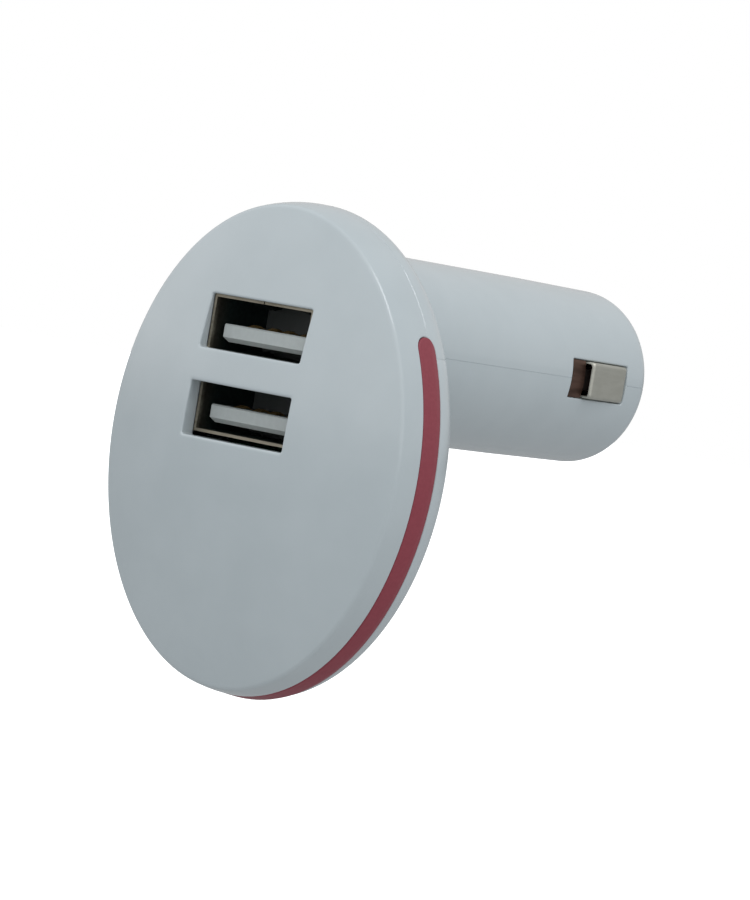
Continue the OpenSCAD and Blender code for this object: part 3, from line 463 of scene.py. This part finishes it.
def head_points(r, y, turn):
    """Points of the head at a radius, a depth and a turn from the top: the round form, stretched upright
    by the oval's ratio about the head's middle."""
    r, y, turn = np.broadcast_arrays(r, y, turn)
    return np.stack([r * np.sin(turn), y, r * np.cos(turn) * OVAL - HEAD_DROP], -1)


def turn_at(z, r):
    """Turn from the top at which the head's surface of radius r passes the height z."""
    return np.arccos((z + HEAD_DROP) / (OVAL * r))


def seam_notch(y):
    """Depth of the fine V along the seam: full on the seam, and none a notch's half width from it."""
    return NOTCH_DEEP * np.clip(1 - np.abs(y - SEAM_Y) / NOTCH_HALF, 0, 1)


def loft(start, end, shares):
    """Rows of points between two rows, at the given shares of the straight way from start to end."""
    shares = np.asarray(shares, float).reshape(-1, 1, 1)
    return start[None] * (1 - shares) + end[None] * shares


def back_r(y):
    """Radius of the head's rear half at a depth: straight behind the seam, then a quarter round."""
    return BACK_FLAT_R + np.sqrt(np.maximum(BACK_ROUND**2 - np.maximum(y - BACK_ROUND_Y, 0) ** 2, 0))


def back_points(y, share, upper):
    """Points of a shell's outside at a depth and a share of the way from the middle of its round to the
    parting plane, which has a hairline notch."""
    r = back_r(y)
    limit = turn_at(0.0, r)
    turn = share * limit if upper else np.pi - share * (np.pi - limit)
    return head_points(r - seam_notch(y) - PARTING_DEEP * (share > 0.9999), y, turn)


def share_at(z, y):
    """Share of the way to the parting plane at which the upper shell's outside passes the height z."""
    r = back_r(y)
    return turn_at(z, r) / turn_at(0.0, r)


def groove_ends(half, first_lean, toward, count):
    """(depth, height) along the groove's round end from a lean up to the seam, with the last two steps a half
    and a whole notch away from the seam, on the side that toward points to."""
    stops = np.arccos((SEAM_Y + toward * NOTCH_HALF * np.array([1, 0.5, 0]) - BAND_MID_Y) / half)
    lean = np.concatenate([np.linspace(first_lean, stops[0], count - 2), stops[1:]])
    return BAND_MID_Y + half * np.cos(lean), BAND_END_Z + half * np.sin(lean)


def sunk_rows(rows, depths):
    """Rows of points on the head, each row drawn towards the head's axis by its own depth."""
    rows = np.stack(rows)
    r = np.hypot(rows[..., 0], (rows[..., 2] + HEAD_DROP) / OVAL)
    f = ((r - np.asarray(depths, float)[:, None]) / r)[..., None]
    z = (rows[..., 2:] + HEAD_DROP) * f - HEAD_DROP
    return np.concatenate([rows[..., :1] * f, rows[..., 1:2], z], -1)


eased_lean = np.linspace(0, np.pi / 2, 5)
eased_out = GROOVE_EASED * (1 - np.sin(eased_lean))
eased_in = GROOVE_EASED * (1 - np.cos(eased_lean))
groove_halves = list(GROOVE_HALF + eased_out) + [GROOVE_HALF, GROOVE_HALF]
groove_depths = list(eased_in) + [0.4, GROOVE_DEEP]


def rounded_half(half_w, half_h, radius, middle, flat, bend, side):
    """Right half of a rounded rectangle, from the middle of its top round to the middle of its bottom."""
    top = np.stack([np.linspace(0, half_w - radius, flat + 1), np.full(flat + 1, half_h)], 1)
    lean = np.linspace(np.pi / 2, 0, 2 * bend + 1)[1:]
    corner = np.stack([half_w - radius + radius * np.cos(lean), half_h - radius + radius * np.sin(lean)], 1)
    edge = np.stack([np.full(side, half_w), np.linspace(half_h - radius, radius - half_h, side + 1)[1:]], 1)
    lower = np.concatenate([top, corner])[::-1] * (1, -1)
    return np.concatenate([top, corner, edge, lower[1:]]) + (0, middle)


def frame_half(half_w, top, low, flat, bend, side):
    """Right half of a plain rectangle, with as many points as rounded_half gives."""
    across = np.linspace(0, half_w, flat + bend + 1)
    down = np.linspace(top, low, 2 * bend + side + 1)
    upper = np.stack([across, np.full_like(across, top)], 1)
    edge = np.stack([np.full_like(down, half_w), down], 1)
    lower = np.stack([across[::-1], np.full_like(across, low)], 1)
    return np.concatenate([upper, edge[1:], lower[1:]])


def wall_y(x, z):
    """Depth of the head's back at a place of (x, z): flat, then round towards its edge."""
    r = np.hypot(x, (z + HEAD_DROP) / OVAL)
    return BACK_ROUND_Y + np.sqrt(BACK_ROUND**2 - np.clip(r - BACK_FLAT_R, 0, BACK_ROUND) ** 2)


BARREL_R, PLAIN_END_Y, BARREL_END_Y, TAPER = 9.75, 28.0, 43.9, 0.1
NOSE_ROUND, NOSE_WALL, HOLE_R, HOLE_EASED = 2.2, 1.9, 2.68, 0.2
RING_R, RING_EASED = 10.65, 0.18
WINDOW_MID_Y, WINDOW_HALF_Y, WINDOW_HALF_U, WINDOW_EASED = 33.85, 5.25, 2.168, 0.16
WINDOW_CORNER = 0.2
CELL_U, CELL_Y = 3.2, (27.6, 40.1)
W_FLAT, W_BEND, W_SIDE = 7, 3, 14
HAIRLINE, HAIRLINE_DEEP = 0.05, 0.05


def barrel_r(y):
    """Radius of the barrel at a depth: plain, then tapering to the nose."""
    return BARREL_R - TAPER * np.clip((y - PLAIN_END_Y) / (BARREL_END_Y - NOSE_ROUND - PLAIN_END_Y), 0, 1)


def barrel_points(y, u, sunk=0.0):
    """Points of the barrel at a depth and an arc length u up from the parting plane, sunk by an amount. The
    parting plane has a hairline notch."""
    y, u = np.broadcast_arrays(y, u)
    r = barrel_r(y) - sunk - HAIRLINE_DEEP * (u < 1e-6)
    return np.stack([r * np.cos(u / BARREL_R), y, r * np.sin(u / BARREL_R)], -1)


cell_u = np.linspace(0, CELL_U, W_FLAT + W_BEND + 1)
cell_u[1] = HAIRLINE
barrel_u = np.concatenate([np.linspace(BARREL_R * np.pi / 2, CELL_U, 37), cell_u[::-1][1:]])
STATIONS = len(barrel_u)
ring_turn = np.pi / 2 - barrel_u / BARREL_R


def ring_row(r, y):
    """A round of the shoulder ring or the nose at the barrel's stations, with the hairline notch."""
    r = r - HAIRLINE_DEEP * (barrel_u < 1e-6)
    return np.stack([r * np.sin(ring_turn), np.broadcast_to(y, ring_turn.shape), r * np.cos(ring_turn)], 1)


barrel_grids = []
window_rows = []
window_lean = np.linspace(0, np.pi / 2, 6)
window_steps = [(0, 1.4), (0, 0.7)]
window_steps += [(WINDOW_EASED * (1 - np.cos(a)), WINDOW_EASED * (1 - np.sin(a))) for a in window_lean]
for grow, sunk in window_steps:
    outline = rounded_half(WINDOW_HALF_U + grow, WINDOW_HALF_Y + grow, WINDOW_CORNER + grow, WINDOW_MID_Y,
                           W_FLAT, W_BEND, W_SIDE)
    outline[1, 0] = outline[-2, 0] = HAIRLINE
    window_rows.append(barrel_points(outline[:, 1], outline[:, 0], sunk))
barrel_grids.append(np.stack(window_rows))
cell = frame_half(CELL_U, CELL_Y[1], CELL_Y[0], W_FLAT, W_BEND, W_SIDE)
cell[1, 0] = cell[-2, 0] = HAIRLINE
around = loft(outline, cell, np.linspace(0, 1, 6))
barrel_grids.append(barrel_points(around[..., 1], around[..., 0]))
cell_y = np.linspace(*CELL_Y, 2 * W_BEND + W_SIDE + 1)
barrel_grids.append(barrel_points(np.linspace(0, CELL_Y[0], 8)[:, None], barrel_u[None]))
barrel_grids.append(barrel_points(cell_y[:, None], barrel_u[None, :37]))
nose_y = BARREL_END_Y - NOSE_ROUND
barrel_grids.append(barrel_points(np.array([CELL_Y[1], 40.9, nose_y])[:, None], barrel_u[None]))
nose_r = barrel_r(nose_y) - NOSE_ROUND
nose = corner_round(nose_r, nose_y, NOSE_ROUND, 0, 90, 11)
nose += [(5.2, BARREL_END_Y), (HOLE_R + HOLE_EASED, BARREL_END_Y)]
nose += corner_round(HOLE_R + HOLE_EASED, BARREL_END_Y - HOLE_EASED, HOLE_EASED, 90, 180)[1:]
nose.append((HOLE_R, BARREL_END_Y - NOSE_WALL))
nose_rows = [ring_row(r, y) for r, y in nose]
nose_rows[0] = barrel_points(np.full(STATIONS, nose_y), barrel_u)
barrel_grids.append(np.stack(nose_rows))
ring = corner_round(RING_R - RING_EASED, -RING_EASED, RING_EASED, 0, 90)
ring_rows = [ring_row(r, y) for r, y in ring + [(10.1, 0.0)]]
ring_rows.append(barrel_points(np.zeros(STATIONS), barrel_u))
barrel_grids.append(np.stack(ring_rows))
ring_foot, ring_top = ring_row(RING_R, 0.0), ring_row(RING_R, -RING_EASED)

PATCH_ABOVE, PATCH_BESIDE = 2.3, 0.4
UPPER_NEAR, LOWER_NEAR = 0.9976, 0.9985
UPPER_RIM_LEAN, LOWER_RIM_LEAN = 0.76, 0.03
hold_y = -5.5
rim_y = BAND_MID_Y + groove_halves[0]
share_w, share_c = share_at(BAND_END_Z + PATCH_ABOVE, hold_y), share_at(BAND_END_Z, hold_y)
upper_share = np.concatenate([
    np.linspace(0, share_w, 23), np.linspace(share_w, share_c, TIP_STEPS + 1)[1:],
    np.linspace(share_c, UPPER_NEAR, STATIONS - 24 - TIP_STEPS + 1)[1:], [1.0],
])
notch_steps = NOTCH_HALF * np.array([0.5, 0])
column = np.concatenate([np.linspace(hold_y, SEAM_Y + NOTCH_HALF, 9), SEAM_Y + notch_steps])
upper_grids = [back_points(column[:, None], upper_share[None, :23], True)]
corner_edge = np.concatenate([
    np.stack([np.full(TIP_STEPS + 1, hold_y), upper_share[22: 23 + TIP_STEPS][::-1]], 1),
    np.stack([column, np.full(len(column), share_w)], 1)[1:],
])
low_share = upper_share[22 + TIP_STEPS:]
tip_rows, strip_rows = [], []
for half in groove_halves:
    y, z = groove_ends(half, 0.0, 1, len(corner_edge))
    tip_rows.append(np.stack([y, share_at(z, y)], 1))
    start = tip_rows[-1][0]
    strip = start[1] + (1 - start[1]) * (low_share - low_share[0]) / (1 - low_share[0])
    strip_rows.append(np.stack([np.full_like(strip, start[0]), strip], 1))
spread = np.linspace(0, 1, 8)
patch = loft(corner_edge, tip_rows[0], spread)
upper_grids.append(back_points(patch[..., 0], patch[..., 1], True))
patch = loft(np.stack([np.full_like(low_share, hold_y), low_share], 1), strip_rows[0], spread)
upper_grids.append(back_points(patch[..., 0], patch[..., 1], True))
for edges in (tip_rows, strip_rows):
    upper_grids.append(sunk_rows([back_points(e[:, 0], e[:, 1], True) for e in edges], groove_depths))
bend_lean = np.linspace(np.arccos((hold_y - BACK_ROUND_Y) / BACK_ROUND), UPPER_RIM_LEAN, 12)
bend_y = BACK_ROUND_Y + BACK_ROUND * np.cos(bend_lean)
upper_grids.append(back_points(bend_y[:, None], upper_share[None], True))
rim = back_points(np.full(STATIONS, bend_y[-1]), upper_share, True)
back = loft(rim, ring_foot, np.linspace(0, 1, 18))
back[1:, :, 1] = wall_y(back[1:, :, 0], back[1:, :, 2])
upper_grids += [back, loft(back[-1], ring_top, np.linspace(0, 1, 4))] + barrel_grids

lower_share = np.concatenate([np.linspace(0, LOWER_NEAR, STATIONS - 1), [1.0]])
edges = [np.stack([np.full(STATIONS, BAND_MID_Y + half), lower_share], 1) for half in groove_halves]
lower_grids = [sunk_rows([back_points(e[:, 0], e[:, 1], False) for e in edges], groove_depths)]
bend_lean = np.linspace(np.arccos((rim_y - BACK_ROUND_Y) / BACK_ROUND), LOWER_RIM_LEAN, 26)
bend_y = BACK_ROUND_Y + BACK_ROUND * np.cos(bend_lean)
lower_grids.append(back_points(bend_y[:, None], lower_share[None], False))
rim = back_points(np.full(STATIONS, bend_y[-1]), lower_share, False)
back = loft(rim, ring_foot * (1, 1, -1), np.linspace(0, 1, 12))
back[1:, :, 1] = wall_y(back[1:, :, 0], back[1:, :, 2])
lower_grids += [back, loft(back[-1], ring_top * (1, 1, -1), np.linspace(0, 1, 4))]
lower_grids += [grid * (1, 1, -1) for grid in barrel_grids]

gloss_white = grained("gloss_white_plastic", (0.45, 0.495, 0.512), (0.47, 0.515, 0.532), 0.38, scale=150.0,
                      bump=0.12, reach=0.15, specular=0.25, coat=1.0, coat_rough=0.09)
make_piece("upper_shell_skin", upper_grids, gloss_white, "housing", ["upper_shell"],
           mirror=True, wall=0.5, inner=(0, 0, -3))
make_piece("lower_shell_skin", lower_grids, gloss_white, "housing", ["lower_shell"],
           mirror=True, wall=0.5, inner=(0, -6, -12))

# Front cover: one moulding of the same plastic with a domed face, a softly rounded edge, a bowed
# side and two openings whose edges are eased. It ends at the seam and, lower down, at the groove
# of the trim band.

HALF_WIDTH = 19.75
APEX_Y = -15.3
DOME_R = 50.3
BOW_R = 20.5
CREASE_R = 0.6
PORT_HALF_W, PORT_HALF_H = 6.7, 2.8
PORT_Z = (0.0, -9.1)
PORT_EASED, PORT_CORNER = 0.22, 0.25
FLAT, BEND, EDGE = 18, 4, 16
FRAME_HALF_W, FRAME_TOP, FRAME_MID, FRAME_LOW = 8.3, 4.4, -4.55, -13.5


def dome_y(r):
    """Depth of the domed face at a radius of the round head: a circle of the dome's radius about the axis."""
    return APEX_Y + DOME_R - np.sqrt(DOME_R**2 - r**2)


def bow_r(y):
    """Radius of the round head at a depth: an arc of the bow's radius, widest at the seam."""
    return HALF_WIDTH - BOW_R + np.sqrt(BOW_R**2 - (y - SEAM_Y) ** 2)


def bow_points(y, turn):
    """Points of the cover's side at a depth and a turn, with the fine notch along the seam."""
    return head_points(bow_r(y) - seam_notch(y), y, turn)


def crease_arc(count):
    """(radius, depth) of points along the rounding between the dome and the side, from the dome to the side.
    Its middle lies where both arcs, shrunk by its radius, cross."""
    dome_c = np.array([0.0, APEX_Y + DOME_R])
    side_c = np.array([HALF_WIDTH - BOW_R, SEAM_Y])
    to_dome, to_side = DOME_R - CREASE_R, BOW_R - CREASE_R
    step = side_c - dome_c
    apart = np.linalg.norm(step)
    along = (to_dome**2 - to_side**2 + apart**2) / (2 * apart)
    off = np.sqrt(to_dome**2 - along**2)
    middle = dome_c + step * along / apart + np.array([-step[1], step[0]]) * off / apart
    first, last = middle - dome_c, middle - side_c
    lean = np.linspace(np.arctan2(first[1], first[0]), np.arctan2(last[1], last[0]), count)
    return middle + CREASE_R * np.stack([np.cos(lean), np.sin(lean)], 1)


def face_rows(flat_rows, depth=0.0):
    """Points of the domed face over rows of (x, z), moved back by a depth."""
    x, z = flat_rows[..., 0], flat_rows[..., 1]
    return np.stack([x, dome_y(np.hypot(x, (z + HEAD_DROP) / OVAL)) + depth, z], -1)


cover_grids = []
for port_z, top, low in ((PORT_Z[0], FRAME_TOP, FRAME_MID), (PORT_Z[1], FRAME_MID, FRAME_LOW)):
    outlines, depths = [], []
    for lean in np.linspace(0, np.pi / 2, 6):
        grow = PORT_EASED * (1 - np.cos(lean))
        outlines.append(rounded_half(PORT_HALF_W + grow, PORT_HALF_H + grow, PORT_CORNER + grow, port_z,
                                     FLAT, BEND, EDGE))
        depths.append(PORT_EASED * (1 - np.sin(lean)))
    eased = np.stack([face_rows(o, d) for o, d in zip(outlines, depths)])
    bottom = eased[0].copy()
    bottom[:, 1] = CAN_FRONT_Y
    cover_grids.append(loft(bottom, eased[0], np.linspace(0, 1, 5)))
    cover_grids.append(eased)
    frame_edge = frame_half(FRAME_HALF_W, top, low, FLAT, BEND, EDGE)
    cover_grids.append(face_rows(loft(outlines[-1], frame_edge, np.linspace(0, 1, 7))))

upper_edge = frame_half(FRAME_HALF_W, FRAME_TOP, FRAME_MID, FLAT, BEND, EDGE)
corner_at = FLAT + 3 * BEND + EDGE
frame_outline = np.concatenate([upper_edge[: corner_at + 1], frame_edge[FLAT + BEND + 1:]])
stations = len(frame_outline) - 1
above = int(stations * 0.3)
strip_y = BAND_MID_Y - groove_halves[0] - PATCH_BESIDE
side_turn, tip_turn = turn_at(BAND_END_Z + PATCH_ABOVE, bow_r(strip_y)), turn_at(BAND_END_Z, bow_r(strip_y))
turns = np.concatenate([
    np.linspace(0, side_turn, above + 1), np.linspace(side_turn, tip_turn, TIP_STEPS + 1)[1:],
    np.linspace(tip_turn, np.pi, stations - above - TIP_STEPS + 1)[1:],
])
arc = crease_arc(9)
rim = np.stack([arc[0, 0] * np.sin(turns), arc[0, 0] * np.cos(turns) * OVAL - HEAD_DROP], 1)
cover_grids.append(face_rows(loft(frame_outline, rim, np.linspace(0, 1, 25))))
cover_grids.append(head_points(arc[:, :1], arc[:, 1:], turns[None]))
cover_grids.append(bow_points(np.linspace(arc[-1, 1], strip_y, 9)[:, None], turns[None]))
column = np.concatenate([np.linspace(strip_y, SEAM_Y - NOTCH_HALF, 12), SEAM_Y - notch_steps])
cover_grids.append(bow_points(column[:, None], turns[None, : above + 1]))
corner_edge = np.concatenate([
    np.stack([np.full(TIP_STEPS + 1, strip_y), turns[above: above + TIP_STEPS + 1][::-1]], 1),
    np.stack([column, np.full(len(column), turns[above])], 1)[1:],
])
low_turns = turns[above + TIP_STEPS:]
tip_rows, strip_rows = [], []
for half in groove_halves:
    y, z = groove_ends(half, np.pi, -1, len(corner_edge))
    tip_rows.append(np.stack([y, turn_at(z, bow_r(y))], 1))
    start = tip_rows[-1][0]
    strip = start[1] + (np.pi - start[1]) * (low_turns - low_turns[0]) / (np.pi - low_turns[0])
    strip_rows.append(np.stack([np.full_like(strip, start[0]), strip], 1))
patch = loft(corner_edge, tip_rows[0], spread)
cover_grids.append(bow_points(patch[..., 0], patch[..., 1]))
patch = loft(np.stack([np.full_like(low_turns, strip_y), low_turns], 1), strip_rows[0], spread)
cover_grids.append(bow_points(patch[..., 0], patch[..., 1]))
for edges in (tip_rows, strip_rows):
    cover_grids.append(sunk_rows([bow_points(e[:, 0], e[:, 1]) for e in edges], groove_depths))
make_piece("front_cover_skin", cover_grids, gloss_white, "housing", ["front_cover"],
           mirror=True, wall=0.5, inner=(0, -9, -12))

# Trim band: a satin rose strip pressed into the groove over the seam. It stands a little proud,
# has eased edges and round ends, and its front and back halves meet in a low ridge.

BAND_PROUD = 0.15
BAND_EASED = 0.18
RIDGE_FALL = 0.09


def band_points(depth_turn, raised):
    """Points of the band over (depth, turn): the side's arc raised by an amount at each point, and lowered
    away from the ridge over the seam by a share of the distance."""
    y, turn = depth_turn[..., 0], depth_turn[..., 1]
    return head_points(bow_r(y) + raised - RIDGE_FALL * np.abs(y - SEAM_Y), y, turn)


band_turns = low_turns[::-1]
end_lean = np.linspace(np.pi, 0.0, 33)
eased_insets = BAND_EASED * (1 - np.cos(np.linspace(0, np.pi / 2, 6)))
insets = np.concatenate([eased_insets, np.linspace(BAND_EASED, BAND_HALF, 9)[1:]])
from_round = np.clip(BAND_EASED - insets, 0, BAND_EASED)
rise = np.sqrt(BAND_EASED**2 - from_round**2) - BAND_EASED
band_rows = []
for inset in insets:
    half = BAND_HALF - inset
    y = BAND_MID_Y + half * np.cos(end_lean)
    end = np.stack([y, turn_at(BAND_END_Z + half * np.sin(end_lean), bow_r(y))], 1)
    front = np.stack([np.full_like(band_turns, BAND_MID_Y - half), band_turns], 1)
    rear = np.stack([np.full_like(band_turns, BAND_MID_Y + half), band_turns], 1)[::-1]
    band_rows.append(np.concatenate([front[:-1], end, rear[1:]]))
band_rows = np.stack(band_rows)
band_top = band_points(band_rows, BAND_PROUD + rise[:, None])
band_foot = band_points(band_rows[0], BAND_PROUD - GROOVE_DEEP)
rose = grained("satin_rose_plastic", (0.245, 0.04, 0.057), (0.265, 0.046, 0.064), 0.45, scale=2600.0,
               bump=0.2, specular=0.35)
make_piece("trim_band_skin", [np.stack([band_foot, band_top[0]]), band_top], rose, "housing",
           ["trim_band"], mirror=True, inner=(0, -7, -12), crease=50.0)
